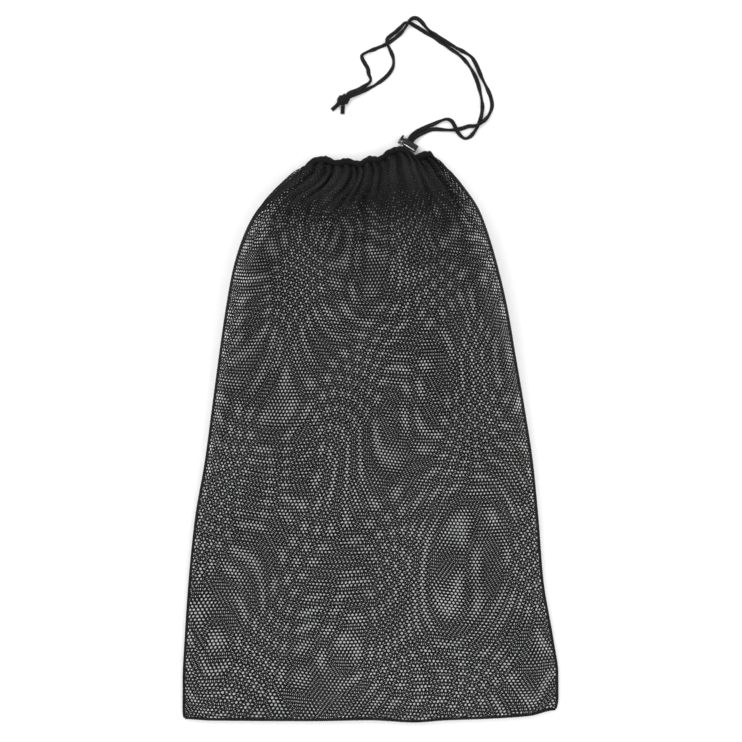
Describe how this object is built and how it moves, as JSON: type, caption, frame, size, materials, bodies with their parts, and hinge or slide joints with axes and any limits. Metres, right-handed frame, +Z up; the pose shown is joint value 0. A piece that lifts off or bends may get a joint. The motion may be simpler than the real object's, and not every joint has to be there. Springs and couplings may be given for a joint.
{
  "type": "mesh gear bag",
  "caption": "Soft mesh bag lying flat with its mouth drawn in: fine open net, sewn side and bottom seams, gathered hem, and a long looped drawcord with a sliding lock.",
  "frame": {"origin": "on the floor under the middle of the bag's length, on its outer back face", "axes": "+Y from the bottom seam to the mouth, +Z up from the floor through the front panel, +X across the bag to the right seen from the front"},
  "size_m": [0.4449, 0.8362, 0.1022],
  "materials": {
    "net": "fine black knitted net, matt, see-through",
    "tape": "turned and gathered net, several layers, matt black",
    "cord": "braided black cord, matt",
    "lock": "moulded black plastic, glossy"
  },
  "bodies": {
    "root": {"front_panel": "net", "back_panel": "net", "left_seam": "tape", "right_seam": "tape", "bottom_seam": "tape", "mouth_hem": "tape", "tunnel_cord": "cord", "inner_strand": "cord", "outer_strand": "cord", "end_knot": "cord", "left_tail": "cord", "right_tail": "cord", "lock_barrel": "lock"},
    "plunger": {"lock_plunger": "lock"}
  },
  "joints": [
    {"name": "lock_press", "type": "slide", "parent": "root", "child": "plunger", "axis": [0.8387, -0.5446, 0], "range_m": [0, 0.0024], "stiffness_N_per_m": 400, "springref_m": -0.002}
  ]
}
